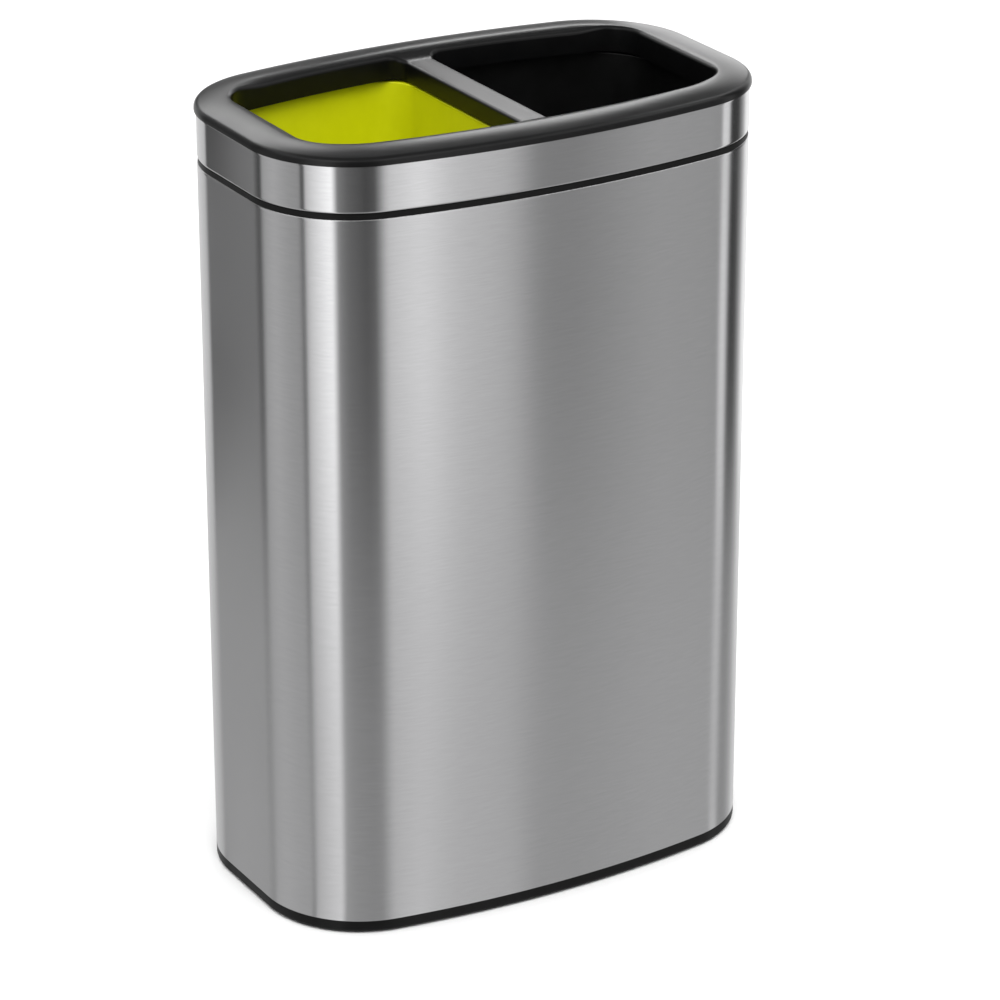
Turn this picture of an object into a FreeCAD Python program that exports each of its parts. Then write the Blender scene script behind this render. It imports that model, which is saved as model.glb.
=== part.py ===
"""Slim steel recycling bin with two lift-out buckets under a lift-off rim.

All sizes are in millimetres. The bin stands on z = 0 with its middle on the Z axis, its long
sides run along X, and its front faces -Y. An inset is a distance in from the steel's outer face.
"""
import FreeCAD, Part
import math
import os
from collections import namedtuple

Vector = FreeCAD.Vector

# ---------------------------------------------------------------- sizes
# Outline of the steel body, seen from above
body_width = 401.0
body_depth = 247.0
long_side_bow = 827.0          # radius of the gently bowed long sides
body_corner = 80.0

# What shows, from the floor up
pad_proud = 0.8                # rubber feet below the base ring
base_height = 9.6
shell_height = 550.2
collar_line = 4.3              # black line under the lid's steel band
lid_gap = 0.3                  # air between the collar and the lid
band_height = 34.8
rim_rise = 8.3                 # from the band's top edge to the crown of the rim

# Steel sheet
sheet = 0.6
hem_width = 2.0                # rolled edge, across
hem_leg = 5.0                  # rolled edge, down the inside
seam_lap = 9.0
seam_groove = 0.3
snap_bead = 0.7                # plastic beads that catch under the rolled edges
snap_lead = 2.8                # height of a bead's lead-in slope and catch

# Base ring, bottom panel and feet
base_edge = 3.0                # rounding of the ring's lower edge
base_flange_width = 26.0
base_flange = 3.6
base_lip = 6.0                 # height of the lip that the shell is pushed over
base_lip_wall = 2.4
panel_sheet = 0.8
panel_rim = 13.0
panel_bend = 3.0
pad_radius = 8.0
pad_height = 2.8
pad_inset = 13.0

# Base screws, driven up through the ring into the panel
base_screw_radius = 2.0
base_screw_head_radius = 4.0
base_screw_head = 2.6
base_screw_reach = 5.0         # thread that shows above the panel
base_screw_x = 85.0
base_screw_inset = 14.0
base_boss_radius = 6.2
base_counterbore = 3.4

# Collar in the top of the shell
collar_recess = 0.5
guide_gap = 1.7                # from the collar's inner edge to a bucket's mouth
collar_skirt = 20.0
collar_wall = 2.2
collar_spigot = 10.0
spigot_gap = 1.2               # from the spigot to the lid's liner
collar_lead = 6.0

# Lid: liner inside the steel band, and rim over it
liner_wall = 2.2
liner_height = 15.0
liner_shelf_edge = 0.4         # from the bosses to the shelf's inner edge
lid_screw_radius = 1.5
lid_screw_head_radius = 2.9
lid_screw_head = 1.8
lid_screw_length = 10.0
lid_screw_x = (45.0, 122.0)
lid_boss_radius = 3.5
lid_boss_gap = 0.5             # from the bosses to the rim's outer skirt
rim_overhang = 1.5
rim_edge = 1.0                 # upright edge above the band
rim_shoulder = 5.0             # rounding above that edge
rim_crown_inset = 21.6
rim_fall = 20.0                # from the crown to the level of the divider
rim_wall = 2.4
rim_skirt_wall = 2.2
rim_skirt_bottom = 11.5        # below the band's top edge
rim_lip = 2.4                  # rounding of the lips of the openings

# Openings in the rim, and the divider between them
end_cover = 6.2                # how far the rim reaches in over a bucket's mouth, at the ends
side_cover = 8.2               # the same at the middle of the long sides
opening_bow = 728.0
opening_corner = 29.3
divider_half_width = 11.3
divider_corner = 11.0
divider_top = 3.0              # above the band's top edge

# Buckets
bucket_wall = 1.8
bucket_flange = 7.0            # width of the flange round the mouth
bucket_flange_thick = 2.0
bucket_lip = 8.0               # depth of the flange's turned-down edge
bucket_lip_wall = 1.6
bucket_room = 2.4              # from the flange to the lid's liner
bucket_split = 0.8             # from the middle of the bin to the flange
bucket_side_corner = 37.0      # flange corners next to the divider
bucket_draft = 12.0            # how far the walls draw in on the way down
bucket_round = 11.0            # rounding of the bottom edge
bucket_foot = 2.5
bucket_foot_width = 5.0
bucket_floor_gap = 0.3
bucket_below_skirt = 2.0       # mouth of the bucket below the rim's skirt

# Bails
bail_wire_radius = 1.75
bail_bend = 3.4
bail_head_radius = 2.7
bail_head = 1.0
bail_fit = 0.05                # running clearance in the ears
grip_radius = 4.2
grip_length = 62.0
grip_rest = 0.3
ear_wall = 2.5
ear_radius = 5.0

fit = 0.2                      # clearance between pieces that are pushed together
screw_fit = 0.05               # clearance round the shank of a screw

# ---------------------------------------------------------------- levels and places
base_z = pad_proud
shell_z = base_z + base_height
shell_top = shell_z + shell_height
collar_z = shell_top + collar_line
band_z = collar_z + lid_gap
band_top = band_z + band_height
rim_top = band_top + rim_rise
divider_z = band_top + divider_top
skirt_z = band_top - rim_skirt_bottom
liner_top = band_z + liner_height
panel_z = shell_z + base_lip + fit
panel_top = panel_z + panel_sheet
bucket_z = panel_top + bucket_floor_gap
bucket_top = skirt_z - bucket_below_skirt
bail_z = bucket_top + grip_radius + grip_rest

half_width = body_width / 2
half_depth = body_depth / 2
hem_face = hem_width + fit
collar_spigot_inset = hem_face + liner_wall + spigot_gap
lid_screw_inset = hem_face + rim_skirt_wall + lid_boss_gap + lid_boss_radius
liner_shelf = lid_screw_inset + lid_boss_radius + liner_shelf_edge
bucket_inset = liner_shelf + bucket_room
bucket_mouth_inset = bucket_inset + bucket_flange
collar_ledge = bucket_mouth_inset - guide_gap
mouth_face = bucket_mouth_inset + bucket_wall
opening_end = half_width - mouth_face - end_cover
opening_side = half_depth - mouth_face - side_cover
bail_inset = mouth_face - ear_wall - fit / 2 - bail_bend
pivot_x = (bucket_split + half_width - bucket_inset) / 2

Arc = namedtuple("Arc", "x y radius start end")      # anticlockwise, angles in degrees
Run = namedtuple("Run", "x0 y0 x1 y1")               # straight; its outer side is on the right
Via = namedtuple("Via", "inset z")                   # the point that an arc of a profile passes


# ---------------------------------------------------------------- paths seen from above
def blend(depth, bow, corner, reach):
    """Height and end angle of a corner arc whose centre lies at x = reach, inside a bowed side."""
    rise = math.sqrt((bow - corner) ** 2 - reach ** 2)
    return depth - bow + rise, math.degrees(math.atan2(rise, reach))


def bowed_oval(width, depth, bow, corner):
    """Closed slim oval of half sizes width and depth: flat short sides, bowed long sides."""
    reach = width - corner
    y, turn = blend(depth, bow, corner, reach)
    return [
        Run(width, -y, width, y),
        Arc(reach, y, corner, 0, turn),
        Arc(0, depth - bow, bow, turn, 180 - turn),
        Arc(-reach, y, corner, 180 - turn, 180),
        Run(-width, y, -width, -y),
        Arc(-reach, -y, corner, 180, 180 + turn),
        Arc(0, bow - depth, bow, 180 + turn, 360 - turn),
        Arc(reach, -y, corner, 360 - turn, 360),
    ]


def half_oval(side, side_corner, width, depth, bow, corner):
    """The part of such an oval beyond x = side, closed by a flat side with its own corners.

    The flat side comes last, so that an open path can leave it out.
    """
    reach = width - corner
    y, turn = blend(depth, bow, corner, reach)
    side_reach = side + side_corner
    side_y, side_turn = blend(depth, bow, side_corner, side_reach)
    return [
        Arc(side_reach, -side_y, side_corner, 180, 360 - side_turn),
        Arc(0, bow - depth, bow, 360 - side_turn, 360 - turn),
        Arc(reach, -y, corner, 360 - turn, 360),
        Run(width, -y, width, y),
        Arc(reach, y, corner, 0, turn),
        Arc(0, depth - bow, bow, turn, side_turn),
        Arc(side_reach, side_y, side_corner, side_turn, 180),
        Run(side, side_y, side, -side_y),
    ]


def moved_in(path, inset):
    """The same path, moved in all round."""
    moved = []
    for piece in path:
        if isinstance(piece, Arc):
            moved.append(piece._replace(radius=piece.radius - inset))
        else:
            out = outward(piece)
            moved.append(Run(piece.x0 - out.x * inset, piece.y0 - out.y * inset,
                             piece.x1 - out.x * inset, piece.y1 - out.y * inset))
    return moved


def outward(run):
    """Unit vector to the outer side of a straight run."""
    return Vector(run.y1 - run.y0, run.x0 - run.x1, 0).normalize()


def polar(angle):
    """Unit vector at an angle in degrees."""
    return Vector(math.cos(math.radians(angle)), math.sin(math.radians(angle)), 0)


def body_path(inset=0.0):
    """Outline of the steel body, moved in by inset."""
    return moved_in(bowed_oval(half_width, half_depth, long_side_bow, body_corner), inset)


def opening_path(grown=0.0):
    """Right-hand opening of the rim."""
    path = half_oval(divider_half_width, divider_corner, opening_end, opening_side,
                     opening_bow, opening_corner)
    return moved_in(path, -grown)


def bucket_path(inset=0.0):
    """Outer edge of the right-hand bucket's flange, concentric with the body."""
    path = half_oval(bucket_split, bucket_side_corner, half_width - bucket_inset,
                     half_depth - bucket_inset, long_side_bow - bucket_inset,
                     body_corner - bucket_inset)
    return moved_in(path, inset)


def on_long_side(x, inset):
    """Distance from the middle plane to the long side at x, moved in by inset."""
    return half_depth - long_side_bow + math.sqrt((long_side_bow - inset) ** 2 - x ** 2)


def body_corner_spots(inset):
    """Four points half way round the body's corners."""
    reach = half_width - body_corner
    y, _ = blend(half_depth, long_side_bow, body_corner, reach)
    step = (body_corner - inset) / math.sqrt(2)
    return [(sx * (reach + step), sy * (y + step)) for sx in (-1, 1) for sy in (-1, 1)]


def side_spots(xs, inset):
    """Points along both long sides at each x and -x, and one in the middle of each short side."""
    spots = [(sx * x, sy * on_long_side(x, inset)) for x in xs for sx in (-1, 1) for sy in (-1, 1)]
    return spots + [(sx * (half_width - inset), 0.0) for sx in (-1, 1)]


# ---------------------------------------------------------------- solids
def section(profile, place):
    """Face of a closed profile of (inset, z) points; a Via makes the next stretch an arc."""
    edges = []
    start = profile[0]
    steps = iter(profile[1:] + profile[:1])
    for step in steps:
        if isinstance(step, Via):
            end = next(steps)
            edges.append(Part.Arc(place(start), place(step), place(end)).toShape())
        else:
            end = step
            edges.append(Part.LineSegment(place(start), place(end)).toShape())
        start = end
    return Part.Face(Part.Wire(edges))


def joined(shapes):
    """One solid from shapes that touch or overlap."""
    whole = shapes[0].multiFuse(shapes[1:]).removeSplitter()
    return whole.Solids[0] if len(whole.Solids) == 1 else whole


def swept(path, profile):
    """Solid of a profile that keeps its inset from a path all the way round."""
    lengths = []
    for piece in path:
        if isinstance(piece, Arc):
            middle = Vector(piece.x, piece.y, 0)
            out = polar(piece.start)
            origin = middle + out * piece.radius
        else:
            origin = Vector(piece.x0, piece.y0, 0)
            out = outward(piece)
        face = section(profile, lambda p: origin - out * p[0] + Vector(0, 0, p[1]))
        if isinstance(piece, Arc):
            lengths.append(face.revolve(middle, Vector(0, 0, 1), piece.end - piece.start))
        else:
            lengths.append(face.extrude(Vector(piece.x1 - piece.x0, piece.y1 - piece.y0, 0)))
    return joined(lengths)


def outline_wire(path, z):
    """Closed wire along a path, at one height."""
    edges = []
    for piece in path:
        if isinstance(piece, Arc):
            middle = Vector(piece.x, piece.y, z)
            ends = [middle + polar(a) * piece.radius
                    for a in (piece.start, (piece.start + piece.end) / 2, piece.end)]
            edges.append(Part.Arc(*ends).toShape())
        else:
            edges.append(Part.LineSegment(Vector(piece.x0, piece.y0, z),
                                          Vector(piece.x1, piece.y1, z)).toShape())
    return Part.Wire(edges)


def prism(path, low, high):
    """Upright solid over a closed path."""
    return Part.Face(outline_wire(path, low)).extrude(Vector(0, 0, high - low))


def post(spot, radius, low, high):
    """Upright round post at an (x, y) spot."""
    return Part.makeCylinder(radius, high - low, Vector(spot[0], spot[1], low))


def posts(spots, radius, low, high):
    """The same post at every spot."""
    return Part.makeCompound([post(spot, radius, low, high) for spot in spots])


def left_hand(shape):
    """Mirror image on the other side of the divider."""
    return shape.mirror(Vector(0, 0, 0), Vector(1, 0, 0))


def turn_point(centre, radius, angle):
    """Point of a profile's arc: angle 0 points inward, 90 up."""
    rad = math.radians(angle)
    return (centre[0] + radius * math.cos(rad), centre[1] + radius * math.sin(rad))


def rolled_edge(edge_z, way):
    """Points of a sheet edge rolled inward, from the outer face to the inner face.

    way is 1 for an upper edge and -1 for a lower one.
    """
    outer = hem_width / 2
    inner = outer - sheet
    centre_z = edge_z - way * outer
    leg_z = edge_z - way * hem_leg
    return [
        (0, centre_z),
        Via(outer, edge_z),
        (hem_width, centre_z),
        (hem_width, leg_z),
        (hem_width - sheet, leg_z),
        (hem_width - sheet, centre_z),
        Via(outer, centre_z + way * inner),
        (sheet, centre_z),
    ]


def bead(face, z, way):
    """Points of a snap bead on a face, from its free side to its catch at z.

    way is -1 for a bead that hangs below z and 1 for one that stands above it.
    """
    return [
        (face, z + way * snap_lead),
        (face - snap_bead, z + way * snap_bead),
        (face - snap_bead, z),
        (face, z),
    ]


# ---------------------------------------------------------------- bin
def seamed(ring, low, high):
    """Adds the lap inside a steel ring, and the fine line that it leaves outside at the back."""
    half_turn = math.degrees(seam_lap / 2 / long_side_bow)
    back = Arc(0, half_depth - long_side_bow, long_side_bow, 90 - half_turn, 90 + half_turn)
    lap = swept([back], [(sheet, low), (2 * sheet, low), (2 * sheet, high), (sheet, high)])
    line = Part.makeBox(seam_groove, 2 * seam_groove, high - low,
                        Vector(seam_lap / 2, on_long_side(seam_lap / 2, 0) - seam_groove, low))
    return joined([ring, lap]).cut(line)


def make_body_shell():
    """Steel sheet with a plain lower edge, a rolled top edge and its seam at the back."""
    profile = [(sheet, shell_z), (0, shell_z)] + rolled_edge(shell_top, 1)
    return seamed(swept(body_path(), profile), shell_z + base_lip + panel_rim + fit,
                  shell_top - collar_skirt - 2 * fit)


def make_top_collar():
    """Ring snapped under the shell's rolled edge; its ledge guides the buckets."""
    skirt_low = shell_top - collar_skirt
    profile = [
        (collar_recess, shell_top),
        (collar_recess, collar_z),
        (collar_spigot_inset, collar_z),
        (collar_spigot_inset, collar_z + collar_spigot),
        (collar_spigot_inset + collar_wall, collar_z + collar_spigot),
        (collar_spigot_inset + collar_wall, collar_z),
        (collar_ledge, collar_z),
        (collar_ledge, shell_top - collar_lead),
        (collar_ledge - collar_wall, shell_top - collar_lead),
        (collar_ledge - collar_wall, shell_top),
        (hem_face + collar_wall, shell_top),
        (hem_face + collar_wall, skirt_low),
        (hem_face, skirt_low),
    ] + bead(hem_face, shell_top - hem_leg - fit, -1) + [(hem_face, shell_top)]
    return swept(body_path(), profile)


def make_bottom_panel():
    """Steel pan welded inside the shell, with its rim turned up."""
    inner = sheet + panel_sheet
    high = panel_z + panel_rim
    floor_inset = sheet + panel_bend
    corner = (floor_inset, panel_z + panel_bend)
    profile = [
        (floor_inset, panel_z),
        Via(*turn_point(corner, panel_bend, 225)),
        (sheet, corner[1]),
        (sheet, high),
        (inner, high),
        (inner, corner[1]),
        Via(*turn_point(corner, panel_bend - panel_sheet, 225)),
        (floor_inset, panel_top),
    ]
    pan = joined([swept(body_path(), profile), prism(body_path(floor_inset), panel_z, panel_top)])
    spots = side_spots((base_screw_x,), base_screw_inset)
    return pan.cut(posts(spots, base_screw_radius + screw_fit, panel_z - 1, panel_top + 1))


def make_base_ring():
    """Moulded foot ring; the shell is pushed over its lip and rests on its step."""
    lip = sheet + fit
    flange_top = base_z + base_flange
    profile = [
        (base_edge, base_z),
        Via(*turn_point((base_edge, base_z + base_edge), base_edge, 225)),
        (0, base_z + base_edge),
        (0, shell_z),
        (lip, shell_z),
        (lip, shell_z + base_lip),
        (lip + base_lip_wall, shell_z + base_lip),
        (lip + base_lip_wall, flange_top),
        (base_flange_width, flange_top),
        (base_flange_width, base_z),
    ]
    ring = swept(body_path(), profile)
    spots = side_spots((base_screw_x,), base_screw_inset)
    bosses = [post(spot, base_boss_radius, base_z, panel_z) for spot in spots]
    ring = joined([ring] + bosses)
    seat = base_z + base_counterbore
    ring = ring.cut(posts(spots, base_screw_head_radius + fit, base_z - 1, seat))
    ring = ring.cut(posts(spots, base_screw_radius + screw_fit, base_z, panel_z + 1))
    pockets = posts(body_corner_spots(pad_inset), pad_radius + fit, 0, pad_height)
    return ring.cut(pockets)


def make_base_screws():
    """Flat-bottomed pan heads in the counterbores, shanks up through the panel."""
    seat = base_z + base_counterbore
    screws = []
    for spot in side_spots((base_screw_x,), base_screw_inset):
        head = post(spot, base_screw_head_radius, seat - base_screw_head, seat)
        shank = post(spot, base_screw_radius, seat, panel_top + base_screw_reach)
        screws.append(joined([head, shank]))
    return Part.makeCompound(screws)


def make_foot_pad(spot):
    """Rubber button, pushed up into its pocket in the base ring."""
    pad = post(spot, pad_radius, 0, pad_height)
    return pad.makeFillet(pad_proud / 2, [e for e in pad.Edges if e.BoundBox.ZMax < pad_proud])


# ---------------------------------------------------------------- lid
def make_lid_band():
    """Steel band with both edges rolled inward."""
    profile = rolled_edge(band_top, 1) + list(reversed(rolled_edge(band_z, -1)))
    return seamed(swept(body_path(), profile), band_z + hem_leg + fit, band_top - hem_leg - fit)


def make_lid_liner():
    """Ring inside the band; it drops round the collar's spigot and takes the screws."""
    shelf = liner_top - liner_wall
    catch = bead(hem_face, band_z + hem_leg + fit, 1)
    profile = [(hem_face, band_z)] + catch[::-1] + [
        (hem_face, liner_top),
        (liner_shelf, liner_top),
        (liner_shelf, shelf),
        (hem_face + liner_wall, shelf),
        (hem_face + liner_wall, band_z),
    ]
    ring = swept(body_path(), profile)
    holes = posts(side_spots(lid_screw_x, lid_screw_inset), lid_screw_radius + screw_fit,
                  band_z, liner_top + 1)
    return ring.cut(holes)


def make_lid_screws():
    """Screws driven up through the liner's shelf into the rim's bosses."""
    seat = liner_top - liner_wall
    screws = []
    for spot in side_spots(lid_screw_x, lid_screw_inset):
        head = post(spot, lid_screw_head_radius, seat - lid_screw_head, seat)
        shank = post(spot, lid_screw_radius, seat, seat + lid_screw_length)
        screws.append(joined([head, shank]))
    return Part.makeCompound(screws)


def rim_crown(drop):
    """Top line of the rim from its crown inward, and back out along the dome, lowered by drop."""
    fall = rim_rise - divider_top
    bend = (rim_fall ** 2 + fall ** 2) / (4 * fall)
    half_turn = math.degrees(math.asin(rim_fall / 2 / bend))
    top = rim_top - drop
    upper = (rim_crown_inset, top - bend)
    lower = (rim_crown_inset + rim_fall, top - fall + bend)
    return [
        (rim_crown_inset, top),
        Via(*turn_point(upper, bend, 90 - half_turn / 2)),
        turn_point(upper, bend, 90 - half_turn),
        Via(*turn_point(lower, bend, 270 - half_turn / 2)),
        (rim_crown_inset + rim_fall, top - fall),
    ]


def rim_dome():
    """Radius of the rim's dome, tangent to the shoulder and level at the crown."""
    across = rim_crown_inset + rim_overhang - rim_shoulder
    up = rim_rise - rim_edge
    return (across ** 2 + up ** 2 - rim_shoulder ** 2) / (2 * (up - rim_shoulder))


def dome_z(inset):
    """Height of the dome's outer side at an inset."""
    dome = rim_dome()
    return rim_top - dome + math.sqrt(dome ** 2 - (rim_crown_inset - inset) ** 2)


def make_rim_frame():
    """Moulded rim and divider: domed ring, two openings with skirts, hollow underneath."""
    end = rim_crown_inset + rim_fall
    dome = rim_dome()
    dome_centre = (rim_crown_inset, rim_top - dome)
    shoulder = (rim_shoulder - rim_overhang, band_top + rim_edge)
    tangent = math.degrees(math.atan2(shoulder[1] - dome_centre[1], shoulder[0] - dome_centre[0]))
    outside = [
        (-rim_overhang, band_top),
        (-rim_overhang, band_top + rim_edge),
        Via(*turn_point(shoulder, rim_shoulder, (180 + tangent) / 2)),
        turn_point(shoulder, rim_shoulder, tangent),
        Via(*turn_point(dome_centre, dome, (90 + tangent) / 2)),
    ]
    inside = [(end, skirt_z), (hem_face, skirt_z)]
    catch = bead(hem_face, band_top - hem_leg - fit, -1)
    profile = outside + rim_crown(0) + inside + catch + [(hem_face, band_top)]
    blank = joined([swept(body_path(), profile), prism(body_path(end), skirt_z, divider_z)])

    right = prism(opening_path(), skirt_z - 1, rim_top + 1)
    blank = blank.cut(right).cut(left_hand(right))
    lips = [e for e in blank.Edges if on_lip(e)]
    blank = blank.makeFillet(rim_lip, lips)

    hollow = hem_face + rim_skirt_wall
    start_angle = 180 - math.degrees(math.acos((rim_crown_inset - hollow) / dome))
    start = turn_point(dome_centre, dome, start_angle)
    below = skirt_z - 1
    ceiling = [
        (hollow, below),
        (hollow, start[1] - rim_wall),
        Via(*turn_point((dome_centre[0], dome_centre[1] - rim_wall), dome, (90 + start_angle) / 2)),
    ]
    void_profile = ceiling + rim_crown(rim_wall) + [(end, below)]
    void = joined([swept(body_path(), void_profile),
                   prism(body_path(end), below, divider_z - rim_wall)])
    skirts = prism(opening_path(rim_skirt_wall), below - 1, rim_top + 1)
    void = void.cut(skirts).cut(left_hand(skirts))
    rim = blank.cut(void)

    spots = side_spots(lid_screw_x, lid_screw_inset)
    boss_top = dome_z(lid_screw_inset) - rim_wall / 2
    bosses = [post(spot, lid_boss_radius, liner_top, boss_top) for spot in spots]
    rim = joined([rim] + bosses)
    depth = liner_top - liner_wall + lid_screw_length + fit
    return rim.cut(posts(spots, lid_screw_radius + screw_fit, liner_top - 1, depth))


def on_lip(edge):
    """True for the upper edges of the two openings."""
    if edge.BoundBox.ZMin < divider_z - fit:
        return False
    middle = edge.valueAt((edge.FirstParameter + edge.LastParameter) / 2)
    flat = Part.Vertex(abs(middle.x), middle.y, 0)
    return flat.distToShape(outline_wire(opening_path(), 0))[0] < fit / 4


# ---------------------------------------------------------------- buckets
def bucket_profile():
    """Wall of a bucket from under its floor, up the outside, over the flange and down the inside.

    Its insets count from the outer edge of the flange. Returns the profile and the insets of
    the foot rim's two faces.
    """
    draw = bucket_draft / (bucket_top - bucket_z)
    slope = math.degrees(math.atan(draw))
    floor_z = bucket_z + bucket_foot
    inner_round = bucket_round - bucket_wall
    centre = (bucket_flange + bucket_draft + bucket_round, floor_z + bucket_round)
    foot_in = centre[0] + bucket_foot_width
    flange_low = bucket_top - bucket_flange_thick
    edge = bucket_lip_wall / 2
    edge_z = bucket_top - edge
    outside = turn_point(centre, bucket_round, 180 - slope)
    inside = turn_point(centre, inner_round, 180 - slope)
    lip_in = inside[0] - draw * (edge_z - inside[1])
    profile = [
        (foot_in, floor_z),
        (centre[0], floor_z),
        Via(*turn_point(centre, bucket_round, 225 - slope / 2)),
        outside,
        (outside[0] - draw * (flange_low - outside[1]), flange_low),
        (bucket_lip_wall, flange_low),
        (bucket_lip_wall, bucket_top - bucket_lip),
        (0, bucket_top - bucket_lip),
        (0, edge_z),
        Via(*turn_point((edge, edge_z), edge, 135)),
        (edge, bucket_top),
        (lip_in - edge, bucket_top),
        Via(*turn_point((lip_in - edge, edge_z), edge, 45)),
        (lip_in, edge_z),
        inside,
        Via(*turn_point(centre, inner_round, 225 - slope / 2)),
        (centre[0], floor_z + bucket_wall),
        (foot_in, floor_z + bucket_wall),
    ]
    return profile, centre[0], foot_in


def make_black_bucket():
    """Tapered bucket with a turned-down flange, a rounded bottom edge and a foot rim."""
    profile, foot_out, foot_in = bucket_profile()
    floor_z = bucket_z + bucket_foot
    wall = swept(bucket_path(), profile)
    floor = prism(bucket_path(foot_in), floor_z, floor_z + bucket_wall)
    foot = prism(bucket_path(foot_out), bucket_z, floor_z)
    foot = foot.cut(prism(bucket_path(foot_in), bucket_z - 1, floor_z + 1))
    ears = [make_ear(way) for way in (-1, 1)]
    return joined([wall, floor, foot] + ears)


def bail_path():
    """Middle line of the wire: out of one ear, round the far side of the mouth, into the other."""
    loop = half_oval(pivot_x, bail_bend, half_width - bail_inset, half_depth - bail_inset,
                     long_side_bow - bail_inset, body_corner - bail_inset)
    side = loop[-1]
    stub = ear_wall + bail_head + 2 * fit
    leave = Run(pivot_x, -side.y0 + stub, pivot_x, -side.y0)
    enter = Run(pivot_x, side.y0, pivot_x, side.y0 - stub)
    return [leave] + loop[:-1] + [enter]


def ear_y():
    """Outer face of the ears, just inside the wire's bend."""
    return abs(bail_path()[0].y1) - fit / 2


def make_ear(way):
    """Lug on the bucket's mouth for one end of the wire."""
    high = bail_z - bucket_top + bucket_flange_thick
    lug = Part.makeBox(2 * ear_radius, ear_wall, high,
                       Vector(pivot_x - ear_radius, 0, bucket_top - bucket_flange_thick))
    axis = Vector(0, 1, 0)
    lug = lug.fuse(Part.makeCylinder(ear_radius, ear_wall, Vector(pivot_x, 0, bail_z), axis))
    lug = lug.cut(Part.makeCylinder(bail_wire_radius + bail_fit, 3 * ear_wall,
                                    Vector(pivot_x, -ear_wall, bail_z), axis))
    lug.translate(Vector(0, way * ear_y() - (ear_wall if way > 0 else 0), 0))
    return lug


def make_black_bail():
    """Bent wire with its ends headed over inside the ears."""
    path = bail_path()
    round_wire = [
        (-bail_wire_radius, bail_z),
        Via(0, bail_z + bail_wire_radius),
        (bail_wire_radius, bail_z),
        Via(0, bail_z - bail_wire_radius),
    ]
    wire = swept(path, round_wire)
    heads = []
    for way, end in ((-1, path[0].y0), (1, path[-1].y1)):
        start = end if way > 0 else end - bail_head
        heads.append(Part.makeCylinder(bail_head_radius, bail_head,
                                       Vector(pivot_x, start, bail_z), Vector(0, 1, 0)))
    return joined([wire] + heads)


def make_black_grip():
    """Moulded sleeve on the straight of the bail."""
    x = half_width - bail_inset
    start = Vector(x, -grip_length / 2, bail_z)
    sleeve = Part.makeCylinder(grip_radius, grip_length, start, Vector(0, 1, 0))
    ends = [e for e in sleeve.Edges if isinstance(e.Curve, Part.Circle)]
    sleeve = sleeve.makeFillet(grip_radius / 4, ends)
    return sleeve.cut(Part.makeCylinder(bail_wire_radius, grip_length, start, Vector(0, 1, 0)))


# ---------------------------------------------------------------- files
def build():
    bucket = make_black_bucket()
    bail = make_black_bail()
    grip = make_black_grip()
    nodes = {
        "body_shell": make_body_shell(),
        "top_collar": make_top_collar(),
        "bottom_panel": make_bottom_panel(),
        "base_ring": make_base_ring(),
        "base_screws": make_base_screws(),
        "lid_band": make_lid_band(),
        "lid_liner": make_lid_liner(),
        "lid_screws": make_lid_screws(),
        "rim_frame": make_rim_frame(),
        "black_bucket": bucket,
        "black_bail": bail,
        "black_grip": grip,
        "green_bucket": left_hand(bucket),
        "green_bail": left_hand(bail),
        "green_grip": left_hand(grip),
    }
    names = ("rear_left", "front_left", "rear_right", "front_right")
    for name, spot in zip(names, sorted(body_corner_spots(pad_inset), key=lambda s: (s[0], -s[1]))):
        nodes["foot_pad_" + name] = make_foot_pad(spot)
    os.makedirs("parts", exist_ok=True)
    for name, shape in nodes.items():
        shape.exportStep("parts/%s.step" % name)
        print("%-22s solids %d  valid %s  volume %9.0f  z %7.2f to %7.2f" % (
            name, len(shape.Solids), shape.isValid(), shape.Volume,
            shape.BoundBox.ZMin, shape.BoundBox.ZMax))


build()
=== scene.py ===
"""Looks of the slim steel recycling bin: finishes, smooth meshes, floor, light and camera.

Lengths are in metres. The bin's long sides run along X and its front faces -Y. An inset is a
distance in from the outer face of the steel, and a profile is a list of (inset, z) points.
"""
import math
from collections import namedtuple

import bmesh
import bpy
from mathutils import Matrix, Vector


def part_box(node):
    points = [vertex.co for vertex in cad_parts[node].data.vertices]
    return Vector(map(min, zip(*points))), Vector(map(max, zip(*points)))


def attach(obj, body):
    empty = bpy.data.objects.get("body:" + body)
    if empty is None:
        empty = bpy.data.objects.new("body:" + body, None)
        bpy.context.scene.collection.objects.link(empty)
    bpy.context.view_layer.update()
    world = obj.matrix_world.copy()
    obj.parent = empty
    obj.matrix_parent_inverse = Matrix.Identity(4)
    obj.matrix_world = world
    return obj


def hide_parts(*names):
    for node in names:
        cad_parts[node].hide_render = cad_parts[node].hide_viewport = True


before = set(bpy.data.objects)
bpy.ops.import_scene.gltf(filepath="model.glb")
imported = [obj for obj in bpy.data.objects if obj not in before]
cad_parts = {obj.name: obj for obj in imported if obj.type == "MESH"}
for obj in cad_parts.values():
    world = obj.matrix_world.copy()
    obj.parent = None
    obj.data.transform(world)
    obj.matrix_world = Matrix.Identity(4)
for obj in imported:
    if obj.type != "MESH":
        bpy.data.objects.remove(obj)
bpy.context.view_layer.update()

MM = 0.001

# ---------------------------------------------------------------- camera
CAMERA_PLACE = Vector((-1.4752, -2.5682, 1.5267))
CAMERA_AIM = Vector((0.01545, -0.0090, 0.27898))
CAMERA_LENS = 153.1
CAMERA_SENSOR = 36


def make_camera():
    data = bpy.data.cameras.new("view_camera")
    data.lens = CAMERA_LENS
    data.sensor_width = CAMERA_SENSOR
    camera = bpy.data.objects.new("view_camera", data)
    camera.location = CAMERA_PLACE
    camera.rotation_euler = (CAMERA_AIM - CAMERA_PLACE).to_track_quat("-Z", "Y").to_euler()
    bpy.context.scene.collection.objects.link(camera)
    bpy.context.scene.camera = camera


make_camera()

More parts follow.
